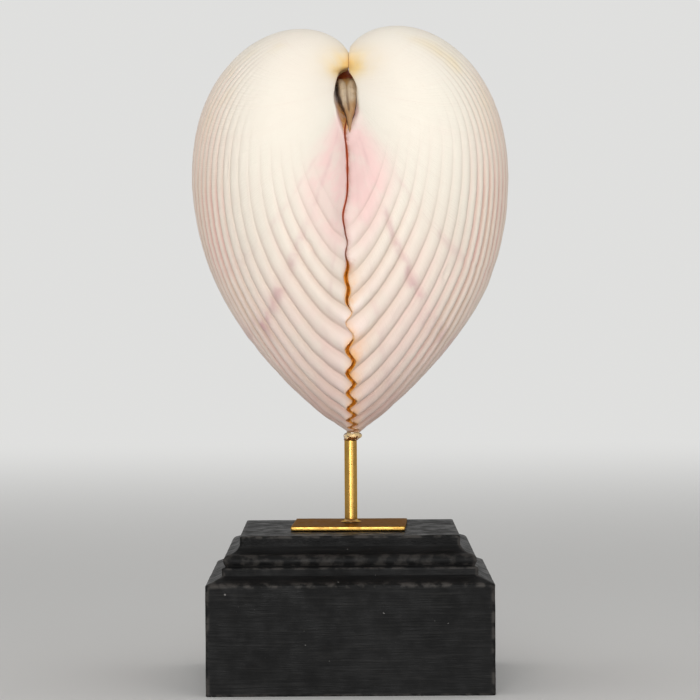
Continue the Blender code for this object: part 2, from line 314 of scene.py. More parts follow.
def seam_shift(arc):
    """Where the two halves meet, sideways: each half's grooves reach across to the other's ribs."""
    along = arc / MM
    swing = SEAM_SWING - 0.62 * eased(abs(arc), *SWING_DROPS) - 0.33 * eased(abs(arc), *SWING_ENDS)
    wider, middle, width = WIDER_SWING
    swing += wider * hump(along, middle, width)
    zigzag = -swing * math.cos(math.tau * rib_phase(arc))
    far, middle, width = SEAM_HUMP
    aside = far * hump(along, middle, width)
    aside += sum(far * eased(along, start, end) for far, start, end in SEAM_STEPS)
    return (zigzag + aside * fading(arc, *SEAM_STRAIGHT)) * MM


def seam_gap(arc):
    """Half of the opening between the two margins."""
    open_low = 0.62 * fading(abs(arc), *LOW_GAPE_ENDS)
    open_mid = 0.55 * eased(arc, *MIDDLE_GAPE_BEGINS) * fading(arc, *MIDDLE_GAPE_ENDS)
    open_high = 0.08 * eased(arc, *HIGH_GAPE_BEGINS)
    uneven = 0.12 * noise.noise(Vector((arc / (3.1 * MM), 4.7, 0.0)))
    return max(0.16, 0.2 + open_low + open_mid + open_high + uneven) * MM


SLOT_SHAPE = {  # half-width, and where it begins to close and has closed, below the hinge point
    1: mm(-1.3, 8.0, 17.5),
    -1: mm(2.5, 9.5, 16.5),
}


def slot_half_width(place, side):
    """The ligament's slot beside a place, given from the hinge point: wide under the beaks."""
    width, closes_from, closed = SLOT_SHAPE[side]
    below = -place.z
    opening = eased(below, 0.2 * MM, 2.6 * MM)
    closing = fading(below, closes_from, closed)
    in_front = fading(place.y, -1.0 * MM, 3.0 * MM)
    return width * opening * closing * in_front


CHIPS = {  # arc (mm), turn, size along the arc (mm), size along growth (mm), depth (mm)
    1: ((44.0, 0.52, 1.6, 2.2, 0.5), (61.0, 0.24, 1.0, 4.0, 0.25)),
    -1: ((86.0, 0.33, 1.3, 2.6, 0.6), (40.0, 1.05, 0.8, 3.0, 0.3)),
}


def chip_depth(side, arc, turn):
    """How deep the surface is chipped here."""
    depth = 0.0
    for chip_arc, chip_turn, wide, long, deep in CHIPS[side]:
        across = (arc / MM - chip_arc) / wide
        down = (turn - chip_turn) * GROWTH_LENGTH * size_after(turn, side) / long
        depth += deep * MM * math.exp(-(across**2) - down**4)
    return depth


# ---- building the shell


def face_outward(bm):
    """Turns every face of a closed shape outward."""
    bmesh.ops.recalc_face_normals(bm, faces=bm.faces)
    if bm.calc_volume(signed=True) < 0:
        bmesh.ops.reverse_faces(bm, faces=bm.faces)
    bm.normal_update()


def close_ends(bm):
    """Fills the open ends and turns every face outward."""
    bmesh.ops.holes_fill(bm, edges=[edge for edge in bm.edges if edge.is_boundary])
    face_outward(bm)


def first_ring(bm, count, number_of):
    """A closed ring to draw a shape up from. Returns its numbered verts and its edges."""
    verts = bmesh.ops.create_circle(bm, segments=count, radius=1.0)["verts"]
    for number, vert in enumerate(verts):
        vert[number_of] = number
    return verts, bm.edges[:]


def extruded(bm, edges):
    """Extrudes a line of edges. Returns the new verts and edges."""
    made = bmesh.ops.extrude_edge_only(bm, edges=edges)["geom"]
    verts = {item for item in made if isinstance(item, bmesh.types.BMVert)}
    ring = [item for item in made if isinstance(item, bmesh.types.BMEdge)]
    ring = [edge for edge in ring if edge.verts[0] in verts and edge.verts[1] in verts]
    return verts, ring


def grown(arc, turn, side, share=1.0):
    """A point of the surface, from the hinge point."""
    point = outline_point(turn_at(arc), share) * size_after(turn, side)
    return Matrix.Rotation(-side * turn, 3, ALONG_HINGE) @ point


def slipped(arc, rib, turn, side):
    """The arc of a rib's line on a ring: the ribs bend away from the margin and waver a little."""
    low_share = fading(arc, *LOW_END)
    slip = 0.0
    for everywhere, low, start, end in RIB_BENDS[side]:
        slip += (everywhere + low * low_share) * eased(turn, start, end)
    slip += 0.3 * noise.noise(Vector((turn * 5.0, rib * 0.63, 3.0 * side))) * eased(turn, 0.0, 0.05)
    slip *= fading(arc, *BENDS_END) - eased(-arc, *FAR_BENDS_END)
    return arc + slip * MM


def edge_place(arc, side, share, closeness):
    """A point of the margin's edge. Closeness 1 is at the opening's lip and 0 is closed."""
    turn = turn_at(arc)
    point = outline_point(turn, share)
    middle = Vector((0.0, OUTLINE_CENTRE_Y, OUTLINE_CENTRE_Z))
    inward = (middle - outline_point(turn)).normalized()
    point += inward * 0.55 * RIB_DEPTH * rib_strength(arc, 0.0)
    gap = seam_gap(arc) + slot_half_width(point, side)
    point.x = seam_shift(arc) + side * (EDGE_CLEARANCE + (gap - EDGE_CLEARANCE) * closeness)
    return point


def shell_tones(side, arc, phase, turn, place):
    """Colour shares of a point of the outside, in three threes.

    The first is (groove, blush, growth scar), the second (ochre, rose, beak stain) and the third
    (lip stain, amber, edge wall). Groove and rose are partly painted shade; on the walls ochre marks
    the slot, painted dark as shade.
    """
    strength = rib_strength(arc, turn)
    across = abs(place.x)
    below = -place.z
    hollow = 0.5 + 0.5 * math.cos(math.tau * phase)
    # The grooves' pink-brown tint: partly the shell's stain, partly painted shade, stronger low down
    # and part way up the sides.
    groove = hollow**2.4 * strength * (1.9 - 0.9 * eased(arc, *STRONG_RIBS_END))
    groove *= 1.0 + 0.3 * eased(turn, 0.45, 0.75) - 0.6 * eased(turn, 0.9, 1.2)
    blush = eased(arc, *BLUSH_BEGINS) * fading(turn, 0.35, 0.85)
    blush *= 1.0 - 0.5 * eased(arc, *BLUSH_FADES)
    blush = max(blush, 0.45 * eased(below, *LOW_BLUSH_BEGINS))
    scar = sum(strong * hump(turn, middle, width) for strong, middle, width in SCARS[side])
    scar *= hump(arc, 60 * MM, 58 * MM) + 0.5 * hump(arc, -60 * MM, 60 * MM)
    scar += 0.9 * hump(turn, 0.385, 0.05) * hump(arc, 29 * MM, 9 * MM)
    ochre_and_slot_shade = hump(turn, 1.7, 0.45) * hump(arc, -3 * MM, 16 * MM)
    # Pink tint, partly painted shade towards the bottom and the sides, and stronger in the grooves as
    # painted shade.
    rose_and_shade = 0.12 * eased(below, *ROSE_AND_SHADE_BEGINS) + 0.88 * eased(below, *ROSE_AND_SHADE_DEEPENS)
    rose_and_shade = max(rose_and_shade, 0.36 * eased(across, *SHADE_AND_ROSE_FLANKS)) * (0.75 + 0.25 * hollow)
    beak = hump(below, -1.0 * MM, 4.4 * MM) * math.exp(-((across / (7.0 * MM)) ** 2))
    beak += 1.2 * hump(below, 1.5 * MM, 2.6 * MM) * math.exp(-((across / (4.6 * MM)) ** 2))
    beak *= fading(place.y, 4 * MM, 12 * MM)

    gap = seam_gap(arc)
    reach = (1.3 if side > 0 else 0.8) * MM * (0.35 + 0.65 * eased(gap, 0.3 * MM, 0.6 * MM))
    if side > 0:
        reach *= 1.0 + 0.9 * hump(arc, 66 * MM, 10 * MM)
    lip = math.exp(-across / reach) if turn < 0.3 else 0.0
    amber = fading(arc, *AMBER_ENDS)
    reach = (3.4 - 2.9 * eased(below, *SLOT_LIP_NARROWS)) * (0.7 if side > 0 else 1.0) * MM
    slot_lip = eased(below, *SLOT_LIP_BEGINS) * fading(below, *SLOT_LIP_ENDS)
    slot_lip *= fading(across / reach, 0.6, 1.2) * fading(place.y, -6 * MM, 0.0)
    return (groove, blush, scar), (ochre_and_slot_shade, rose_and_shade, beak), (max(lip, slot_lip), max(amber, slot_lip), 0.0)


def worked_depth(side, arc, phase, turn, place):
    """How far the surface lies inside the smooth one: ribs, waves, growth lines and chips."""
    size = size_after(turn, side)
    strength = rib_strength(arc, turn)
    from_edge = 1.0 - math.exp(-abs(place.x) / (1.3 * MM))
    uneven = 1.0 + 0.2 * noise.noise(Vector((math.floor(phase) * 1.7, side * 5.0, turn * 2.0)))
    cut = RIB_DEPTH * size**0.65 * strength * uneven
    depth = cut * ((1.0 - rib_height(phase)) * from_edge + 0.5 * (1.0 - from_edge))
    wavy = noise.noise(place / (7.0 * MM) + Vector((0.0, 0.0, 9.0 * side)))
    lumpy = noise.noise(place / (3.0 * MM))
    growth = GROWTH_LENGTH * turn
    lines_of_growth = noise.noise(Vector((growth / 1.9, 0.0, side * 2.0)) + place / (30.0 * MM))
    waves_of_growth = noise.noise(Vector((growth / 6.0, 0.0, side * 7.0)) + place / (20.0 * MM))
    folded = eased(arc, *FOLDS_BEGIN) * fading(turn, 0.5, 0.9)
    folds = noise.noise(place / (4.5 * MM) + Vector((3.0 * side, 0.0, 0.0)))
    grown_share = 0.1 - 0.07 * eased(arc, *GROWTH_SMOOTHER)
    relief = 0.2 + 0.13 * wavy + 0.1 * lumpy + grown_share * (lines_of_growth + waves_of_growth)
    depth += size * from_edge * (relief + 0.14 * folded * folds) * MM
    depth += chip_depth(side, arc, turn)
    ledge = 0.3 * hump(turn, 0.362, 0.012) + 0.2 * hump(turn, 0.63, 0.012)
    ledge *= (0.5 + 1.2 * wavy) * fading(arc, *LEDGES_END)
    return max(LEAST_DEPTH, depth + ledge * MM * from_edge)


def parting(side, arc, turn, place):
    """How far a point of the outside moves away from the other half, along x."""
    across = max(0.0, side * place.x)
    moved = side * seam_shift(arc) * math.exp(-across / SHIFT_REACH)
    moved += seam_gap(arc) * math.exp(-across / GAP_REACH)
    moved *= fading(turn, 0.8, 1.3)
    slot = slot_half_width(place, side)
    if slot > 0:
        return moved + slot * math.exp(-across / max(GAP_REACH, 1.7 * slot))
    return moved + slot * hump(across, 0.0, NARROWING_REACH)


def grow_outside(bm, verts, edges, side, lines, line_of, ring_of):
    """Draws the outside up from the margin to the beak, which ends in a small dome."""
    for ring, turn in enumerate(RING_TURNS):
        if ring:
            verts, edges = extruded(bm, edges)
        for vert in verts:
            arc, phase = lines[vert[line_of]]
            vert[ring_of] = ring
            vert.co = grown(slipped(arc, phase, turn, side), turn, side)
    centre = sum((vert.co for vert in verts), Vector()) / len(verts)
    for step, shrink in enumerate(BEAK_DOME):
        verts, edges = extruded(bm, edges)
        for vert in verts:
            vert[ring_of] = len(RING_TURNS) + step
            vert.co = centre + (vert.co - centre) * shrink


def grow_inside(bm, edges, side, lines, line_of, ring_of):
    """Draws the edge wall and the hollow from the margin, with ring numbers below 0."""
    for depth, (share, closeness) in enumerate(EDGE_WALL):
        verts, edges = extruded(bm, edges)
        for vert in verts:
            arc, _ = lines[vert[line_of]]
            vert[ring_of] = -1 - depth
            vert.co = edge_place(arc, side, share, closeness)
    for depth in range(CAVITY_RINGS + 1):
        turn = CAVITY_FIRST_TURN + (CAVITY_TURN - CAVITY_FIRST_TURN) * depth / CAVITY_RINGS
        verts, edges = extruded(bm, edges)
        for vert in verts:
            arc, _ = lines[vert[line_of]]
            vert[ring_of] = FIRST_CAVITY_RING - depth
            vert.co = grown(arc, turn, side, CAVITY_SHARE)


def work_surface(bm, side, lines, line_of, ring_of):
    """Colours the surface, and works ribs, growth and chips into the outside."""
    tone, stain, lip = (bm.verts.layers.float_color[name] for name in ("tone", "stain", "lip"))
    moves = []
    for vert in bm.verts:
        ring = vert[ring_of]
        arc, phase = lines[vert[line_of]]
        if ring < 0:
            # Walls in the ligament's slot are marked here to be painted dark as shade.
            in_slot = eased(abs(slot_half_width(vert.co, side)), 0.2 * MM, 0.6 * MM)
            reddish = eased(arc, *REDDER_BEGINS)
            vert[stain] = (in_slot, reddish, 0.0, 1.0)
            vert[lip] = (0.0, 0.0, 1.0 if ring > FIRST_CAVITY_RING else 0.15, 1.0)
            continue
        turn = turn_of(ring)
        tones = shell_tones(side, arc, phase, turn, vert.co)
        for layer, three in zip((tone, stain, lip), tones):
            vert[layer] = (*three, 1.0)
        if ring == 0:
            moves.append((vert, edge_place(arc, side, 1.0, 1.0)))
        elif ring < len(RING_TURNS):
            moves.append((vert, vert.co - vert.normal * worked_depth(side, arc, phase, turn, vert.co)))
    for vert, place in moves:
        vert.co = place


def make_valve(name, side, material):
    """One half of the shell. Side is +1 for the half at +X and -1 for the other."""
    lines = rib_lines(side)
    bm = bmesh.new()
    line_of = bm.verts.layers.int.new("line")
    ring_of = bm.verts.layers.int.new("ring")
    for layer in ("tone", "stain", "lip"):
        bm.verts.layers.float_color.new(layer)
    margin, margin_edges = first_ring(bm, len(lines), line_of)
    grow_outside(bm, margin, margin_edges, side, lines, line_of, ring_of)
    grow_inside(bm, margin_edges, side, lines, line_of, ring_of)
    close_ends(bm)
    work_surface(bm, side, lines, line_of, ring_of)
    # The two halves part along the seam and further in the ligament's slot.
    for vert in bm.verts:
        if vert[ring_of] > 0:
            arc, _ = lines[vert[line_of]]
            turn = turn_of(vert[ring_of])
            vert.co.x += side * parting(side, arc, turn, vert.co)
    meet_beaks(bm, side, ring_of)
    growth_map(bm, lines, line_of, ring_of)
    lean_and_place(bm)
    return finished(name, bm, material, "shell", name)


def meet_beaks(bm, side, ring_of):
    """Draws the beak in until its rounded side rests flat against the other half's."""
    for vert in bm.verts:
        if vert[ring_of] > 0 and vert.co.z > BEAKS_MEET[0]:
            turn = turn_of(vert[ring_of])
            across = side * vert.co.x
            share = eased(turn, 1.6, 2.3) * eased(vert.co.z, *BEAKS_MEET)
            share *= fading(vert.co.z, *BEAKS_PART)
            drawn_in = BEAK_CLOSING * share * math.exp(-max(0.0, across) / BEAK_CLOSING_REACH)
            vert.co.x = side * max(BEAK_GAP, across - drawn_in)


def lean_and_place(bm):
    """Leans a piece of the shell as it was glued and moves it to the hinge point."""
    leaning = Matrix.Rotation(-SHELL_LEAN, 3, "Y")
    bmesh.ops.rotate(bm, cent=(0, 0, 0), matrix=leaning, verts=bm.verts)
    bmesh.ops.translate(bm, vec=HINGE_POINT, verts=bm.verts)


def turn_of(ring):
    """The turn of a ring: 0 on the inside, and the beak's where a ring is past the last."""
    return RING_TURNS[min(max(ring, 0), len(RING_TURNS) - 1)]


def growth_map(bm, lines, line_of, ring_of):
    """A map of the surface: ribs counted across, and millimetres of growth down."""
    layer = bm.loops.layers.uv.new("growth_map")
    count = len(lines)
    for face in bm.faces:
        numbers = [loop.vert[line_of] for loop in face.loops]
        wraps = max(numbers) - min(numbers) > count // 2
        for loop, number in zip(face.loops, numbers):
            turn = turn_of(loop.vert[ring_of])
            phase = lines[number][1]
            if wraps and number < count // 2:
                phase = lines[-1][1] + 0.1
            loop[layer].uv = (phase, (1.0 - math.exp(-SHRINK_RATE * turn)) * MAP_LENGTH)


def linked(name, data):
    """A new object in the scene."""
    made = bpy.data.objects.new(name, data)
    bpy.context.scene.collection.objects.link(made)
    return made


def smooth_mesh(name, bm, material):
    """Makes the mesh of a shape, shaded smooth."""
    mesh = bpy.data.meshes.new(name)
    bm.to_mesh(mesh)
    bm.free()
    mesh.materials.append(material)
    mesh.shade_smooth()
    return mesh


def finished(name, bm, material, slot, *nodes):
    """Makes a finished piece that rides on the frame and stands for its CAD nodes."""
    piece = linked(name + "_piece", smooth_mesh(name, bm, material))
    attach(piece, "root")
    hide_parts(*nodes)
    return piece


# ---- materials


def new_finish(name, roughness, metallic=0.0):
    """A new material, its node tree and its shader."""
    material = bpy.data.materials.new(name)
    material.use_nodes = True
    shader = material.node_tree.nodes["Principled BSDF"]
    fed(material.node_tree, shader, {"Roughness": roughness, "Metallic": metallic})
    return material, material.node_tree, shader


def join(tree, source, socket):
    """Feeds a socket from another socket, or gives it a fixed value."""
    if isinstance(source, bpy.types.NodeSocket):
        tree.links.new(source, socket)
    elif isinstance(source, (tuple, list)) and len(source) == 3 and len(socket.default_value) == 4:
        socket.default_value = (*source, 1.0)
    else:
        socket.default_value = source


def added(tree, kind):
    """A new shader node."""
    return tree.nodes.new("ShaderNode" + kind)


def fed(tree, node, inputs):
    """Feeds a node's inputs from sockets or fixed values. Returns its outputs."""
    for name, source in inputs.items():
        join(tree, source, node.inputs[name])
    return node.outputs


def object_place(tree):
    """The surface's place on the object."""
    return added(tree, "TexCoord").outputs["Object"]


def stretched(tree, vector, scale, turn=(0.0, 0.0, 0.0)):
    """Stretches a pattern's coordinates."""
    node = added(tree, "Mapping")
    return fed(tree, node, {"Vector": vector, "Scale": scale, "Rotation": turn})["Vector"]


def mottle(tree, vector, scale, detail=3.0, roughness=0.55):
    """A cloudy pattern."""
    node = added(tree, "TexNoise")
    inputs = {"Vector": vector, "Scale": scale, "Detail": detail, "Roughness": roughness}
    return fed(tree, node, inputs)["Fac"]


def spread(tree, value, low, high, out_low=0.0, out_high=1.0):
    """Stretches a range of a value to another range."""
    node = added(tree, "MapRange")
    node.interpolation_type = "SMOOTHSTEP"
    ends = {"From Min": low, "From Max": high, "To Min": out_low, "To Max": out_high}
    return fed(tree, node, {"Value": value, **ends})["Result"]


def combined(tree, operation, first, second):
    """Arithmetic on two values."""
    node = added(tree, "Math")
    node.operation = operation
    return fed(tree, node, {0: first, 1: second})["Value"]


def blended(tree, share, first, second):
    """Mixes two colours."""
    node = added(tree, "Mix")
    node.data_type = "RGBA"
    return fed(tree, node, {"Factor": share, 6: first, 7: second})[2]


def shares(tree, name):
    """The three colour shares that a piece's surface carries."""
    node = added(tree, "Attribute")
    node.attribute_name = name
    split = added(tree, "SeparateColor")
    return fed(tree, split, {"Color": node.outputs["Color"]}).values()


def times(tree, first, second):
    """The product of two values."""
    return combined(tree, "MULTIPLY", first, second)


def painted(tree, colour, *coats):
    """Lays colours over another, each by its share."""
    for share, tint in coats:
        colour = blended(tree, share, colour, tint)
    return colour


def raised(tree, height, distance, strength, below=None):
    """Turns a pattern into relief."""
    node = added(tree, "Bump")
    if below is not None:
        join(tree, below, node.inputs["Normal"])
    return fed(tree, node, {"Height": height, "Distance": distance, "Strength": strength})["Normal"]


def shell_finish():
    """Cream shell with blush, mauve scars and stains; rosier and darker below and on the sides, and
    pink-brown in the grooves, both partly painted shade; rib crowns paler near the margin, partly a
    painted highlight; the slot's walls near-black as painted shade, with specks painted as glints.
    """
    material, tree, shader = new_finish("cockle_shell", 0.42)
    place = object_place(tree)
    uv_map = added(tree, "UVMap")
    uv_map.uv_map = "growth_map"
    along_growth = uv_map.outputs["UV"]
    groove, blush, scar = shares(tree, "tone")
    ochre_and_slot_shade, rose_and_shade, beak = shares(tree, "stain")
    lip, amber, edge_wall = shares(tree, "lip")

    def patchy(share, scale, low, high, least, strength):
        """A share broken into soft patches."""
        patches = spread(tree, mottle(tree, place, scale), low, high, least, 1.0)
        return times(tree, times(tree, share, patches), strength)

    cloudy = spread(tree, mottle(tree, place, 24.0), 0.38, 0.68, 0.0, 0.35)
    cream = blended(tree, cloudy, (0.88, 0.82, 0.71), (0.86, 0.75, 0.65))
    bands = mottle(tree, stretched(tree, along_growth, (0.02, 0.16, 1.0)), 1.0, 4.0, 0.6)
    split = added(tree, "SeparateXYZ")
    down_growth = fed(tree, split, {"Vector": along_growth})["Y"]
    # Paler rib crowns near the margin: partly the shell's pale young growth, partly a painted
    # highlight.
    near_margin = spread(tree, down_growth, 1.0, 11.0, 0.75, 0.0)
    crown = combined(tree, "SUBTRACT", 1.0, groove)
    pinkish = spread(tree, mottle(tree, place, 40.0, 2.0), 0.4, 0.65)
    # the grooves' colour: a pink stain, partly painted shade
    groove_stain_and_shade_colour = blended(tree, pinkish, (0.63, 0.47, 0.37), (0.68, 0.44, 0.38))
    lip_colour = blended(tree, amber, (0.40, 0.12, 0.07), (0.84, 0.42, 0.12))
    ridges = mottle(tree, place, 700.0, 2.0)
    wall = blended(tree, spread(tree, ridges, 0.38, 0.62), (0.48, 0.15, 0.005), (0.82, 0.34, 0.03))
    # on the walls the rose share makes the wall redder further along the margin
    wall = blended(tree, rose_and_shade, wall, (0.80, 0.22, 0.07))
    # Walls in the slot: near-black as painted shade, with pale specks painted as glints.
    specks = spread(tree, mottle(tree, place, 1500.0, 2.0), 0.6, 0.66)
    slot_shade_and_glints = blended(tree, specks, (0.10, 0.035, 0.010), (0.55, 0.42, 0.28))
    colour = painted(
        tree, cream,
        (spread(tree, bands, 0.52, 0.75, 0.0, 0.16), (0.83, 0.67, 0.58)),
        # rosier and darker below and on the sides: partly painted shade
        (rose_and_shade, (0.80, 0.50, 0.39)),
        # paler crowns near the margin, partly a painted highlight
        (times(tree, near_margin, crown), (0.90, 0.83, 0.76)),
        (patchy(blush, 85.0, 0.36, 0.6, 0.5, 1.0), (0.94, 0.65, 0.61)),
        (patchy(scar, 90.0, 0.42, 0.6, 0.12, 0.7), (0.64, 0.38, 0.38)),
        # grooves darker and pinker: partly painted shade
        (times(tree, groove, 0.5), groove_stain_and_shade_colour),
        (patchy(ochre_and_slot_shade, 55.0, 0.4, 0.62, 0.0, 0.5), (0.86, 0.70, 0.42)),
        (patchy(beak, 160.0, 0.3, 0.6, 0.5, 0.75), (0.90, 0.68, 0.32)),
        (patchy(lip, 500.0, 0.3, 0.6, 0.5, 1.0), lip_colour),
        # edge walls: orange, and near-black painted shade with painted glints in the slot
        (edge_wall, blended(tree, ochre_and_slot_shade, wall, slot_shade_and_glints)),
    )
    fine_growth = mottle(tree, stretched(tree, along_growth, (0.25, 1.9, 1.0)), 1.0, 3.0, 0.6)
    fine_growth = times(tree, fine_growth, spread(tree, blush, 0.0, 0.6, 1.0, 0.2))
    relief = raised(tree, fine_growth, 0.00013, 0.8)
    relief = raised(tree, mottle(tree, place, 900.0), 0.00006, 0.5, relief)
    worn = spread(tree, mottle(tree, place, 140.0), 0.3, 0.7, 0.38, 0.54)
    fed(tree, shader, {"Base Color": colour, "Normal": relief, "Roughness": worn})
    return material


def ligament_finish():
    """Dried ligament: pale grey-beige fibres, a dark cleft, dark sides painted as shade where it meets
    the valves, and amber ends.
    """
    material, tree, shader = new_finish("dried_ligament", 0.5)
    place = object_place(tree)
    cleft, flank_shade, pocket = shares(tree, "tone")
    notch, tail, _ = shares(tree, "ends")
    fibres = mottle(tree, stretched(tree, place, (900.0, 60.0, 60.0)), 1.0, 3.0, 0.6)
    colour = blended(tree, spread(tree, fibres, 0.35, 0.65), (0.50, 0.38, 0.25), (0.68, 0.54, 0.38))
    blotches = spread(tree, mottle(tree, place, 320.0), 0.52, 0.72, 0.0, 0.5)
    colour = painted(
        tree, colour,
        (blotches, (0.42, 0.28, 0.14)),
        (notch, (0.42, 0.24, 0.08)),
        (tail, (0.44, 0.24, 0.09)),
        # painted shade on the ligament's sides
        (flank_shade, (0.05, 0.022, 0.008)),
        (cleft, (0.16, 0.075, 0.025)),
        (pocket, (0.30, 0.045, 0.003)),
    )
    relief = raised(tree, fibres, 0.00015, 0.8)
    fed(tree, shader, {"Base Color": colour, "Normal": relief})
    return material


def brass_finish(name, colour, roughness, edge_tint=(0.75, 0.52, 0.22)):
    """Brass with fine scratches and faint tarnish. The edge tint shows at glancing angles."""
    material, tree, shader = new_finish(name, roughness, metallic=1.0)
    place = object_place(tree)
    tarnish = spread(tree, mottle(tree, place, 160.0, 4.0), 0.5, 0.78, 0.0, 0.5)
    deeper = tuple(part * 0.7 for part in colour)
    tarnished = blended(tree, tarnish, colour, deeper)
    drawn = mottle(tree, stretched(tree, place, (2400.0, 2400.0, 60.0)), 1.0, 2.0, 0.5)
    relief = raised(tree, drawn, 0.000004, 0.3)
    dull = spread(tree, mottle(tree, place, 420.0, 4.0), 0.35, 0.75, roughness - 0.05, roughness + 0.14)
    fed(tree, shader, {"Base Color": tarnished, "Specular Tint": edge_tint})
    fed(tree, shader, {"Normal": relief, "Roughness": dull})
    return material


def clear_adhesive():
    """Set clear adhesive, seen through by plain transmission."""
    material, tree, shader = new_finish("set_clear_adhesive", 0.04)
    ripples = raised(tree, mottle(tree, object_place(tree), 900.0, 2.0), 0.00004, 0.4)
    fed(tree, shader, {"Base Color": (0.84, 0.60, 0.30), "Normal": ripples})
    fed(tree, shader, {"Transmission Weight": 1.0, "IOR": 1.47})
    return material


def painted_wood():
    """Satin black paint over open grain, rubbed and lighter on the edges, partly a painted highlight,
    with specks of dust.
    """
    material, tree, shader = new_finish("black_painted_wood", 0.5)
    place = object_place(tree)
    grain = mottle(tree, stretched(tree, place, (55.0, 1400.0, 1400.0)), 1.0, 4.0, 0.65)
    pores = mottle(tree, stretched(tree, place, (260.0, 2600.0, 2600.0)), 1.0, 2.0, 0.5)
    sawn = mottle(tree, stretched(tree, place, (700.0, 700.0, 2200.0), (0.0, 0.6, 0.0)), 1.0, 2.0, 0.5)
    above, _, rubbed_and_highlit = shares(tree, "tone")
    cloudy = spread(tree, mottle(tree, place, 60.0, 4.0), 0.35, 0.7)
    colour = blended(tree, cloudy, (0.0045, 0.0045, 0.0045), (0.0075, 0.0075, 0.0075))
    lift = times(tree, spread(tree, grain, 0.5, 0.75), 0.4)
    colour = blended(tree, lift, colour, (0.026, 0.025, 0.024))
    # lighter on the edges and corners: partly rubbed paint, partly a painted highlight
    scuffs_and_highlights = times(tree, rubbed_and_highlit, spread(tree, mottle(tree, place, 300.0), 0.42, 0.62))
    colour = blended(tree, times(tree, scuffs_and_highlights, 0.6), colour, (0.075, 0.068, 0.062))
    specks = spread(tree, mottle(tree, place, 620.0, 1.0), 0.79, 0.83, 0.0, 0.6)
    colour = blended(tree, specks, colour, (0.22, 0.21, 0.20))
    relief = raised(tree, grain, 0.00014, 0.7)
    relief = raised(tree, pores, 0.00008, 0.6, relief)
    sawn_share = times(tree, sawn, above)
    relief = raised(tree, sawn_share, 0.00035, 0.9, relief)
    dull = spread(tree, mottle(tree, place, 240.0, 4.0), 0.3, 0.7, 0.4, 0.62)
    fed(tree, shader, {"Base Color": colour, "Normal": relief})
    fed(tree, shader, {"Roughness": dull, "Specular IOR Level": 0.1})
    return material


# ---- ligament and stand

# Distance along the hinge line, middle, half-width, and drop of the back and of the root, in mm.
LIGAMENT_STATIONS = (
    (-1.0, -0.5, 2.7, 1.5, 3.6),
    (2.0, -0.5, 3.5, 1.7, 4.6),
    (5.0, -0.45, 3.6, 2.0, 5.4),
    (7.0, -0.45, 3.5, 1.6, 5.8),
    (12.0, -0.45, 3.4, 1.3, 6.4),
    (18.0, -0.4, 3.2, 1.6, 6.9),
    (23.0, -0.35, 2.8, 2.2, 7.2),
    (28.0, -0.2, 2.3, 3.0, 7.6),
    (33.0, 0.0, 1.6, 3.9, 8.2),
    (38.0, 0.0, 0.9, 5.0, 8.8),
    (44.0, 0.0, 0.45, 6.3, 9.4),
    (51.5, 0.0, 0.2, 8.3, 10.6),
)


def station_at(along):
    """The ligament's middle, half-width, back and root at a distance along the hinge line."""
    for first, second in zip(LIGAMENT_STATIONS, LIGAMENT_STATIONS[1:]):
        if along <= second[0]:
            share = eased(along, first[0], second[0])
            return [a + share * (b - a) for a, b in zip(first[1:], second[1:])]
    return LIGAMENT_STATIONS[-1][1:]


def notch_share(along, across):
    """How far a point lies in the V-shaped notch at the ligament's upper end."""
    return fading(abs(across + 0.08) + 0.045 * (along - 7.0), 0.3, 0.6)


def ligament_tones(along, across, cleft):
    """Colour shares: (cleft, dark side painted as shade beside the valves, pocket under the beaks),
    (notch, tail, none).
    """
    # Painted shade: the ligament darkens on its left where it sinks between the valves, and along its
    # right edge against the valve.
    left_gap = eased(-across, 0.8, 0.95) * eased(along, 6.0, 9.0)
    right_gap = eased(across, 0.92, 1.0)
    pocket = fading(along + 1.6 * across**2, 6.3, 7.3)
    notch = notch_share(along, across)
    tail = eased(along + 3.0 * across, 26.0, 33.0)
    return (0.8 * cleft, max(left_gap, right_gap), pocket), (notch, tail, 0.0)


def make_ligament(material):
    """The band between the halves: a fibrous loft with a cleft down its back."""
    bm = bmesh.new()
    bead_of = bm.verts.layers.int.new("bead")
    tone = bm.verts.layers.float_color.new("tone")
    ends = bm.verts.layers.float_color.new("ends")
    around = 56
    verts, edges = first_ring(bm, around, bead_of)
    length = LIGAMENT_STATIONS[-1][0] - LIGAMENT_STATIONS[0][0]
    rings = 130
    for ring in range(rings + 1):
        if ring:
            verts, edges = extruded(bm, edges)
        along = LIGAMENT_STATIONS[0][0] + length * ring / rings
        middle, half_width, back, root = station_at(along)
        for vert in verts:
            angle = math.tau * vert[bead_of] / around
            across, up = math.sin(angle), math.cos(angle)
            cleft = hump(across, -0.15, 0.06 + 0.16 * eased(along, 20.0, 32.0)) * eased(up, 0.1, 0.5)
            cleft *= eased(along, 12.0, 17.0) * fading(along, 33.0, 38.0)
            notch = notch_share(along, across) * eased(along, 5.0, 7.0)
            fibre = noise.noise(Vector((across * 5.5 + 3.0 * up, along * 0.09, 1.3)))
            lump = noise.noise(Vector((across * 1.5, up * 1.5, along * 0.33)))
            swell = 1.0 + 0.1 * fibre + 0.06 * lump
            drop = (back + root) / 2 - up * swell * (root - back) / 2 + 0.7 * cleft + 0.35 * notch
            place = drop * BELOW_HINGE - along * ALONG_HINGE
            place.x = across * swell * half_width + middle
            vert.co = place * MM
            three, others = ligament_tones(along, across, cleft)
            vert[tone] = (*three, 1.0)
            vert[ends] = (*others, 1.0)
    close_ends(bm)
    lean_and_place(bm)
    finished("ligament", bm, material, "ligament", "ligament")


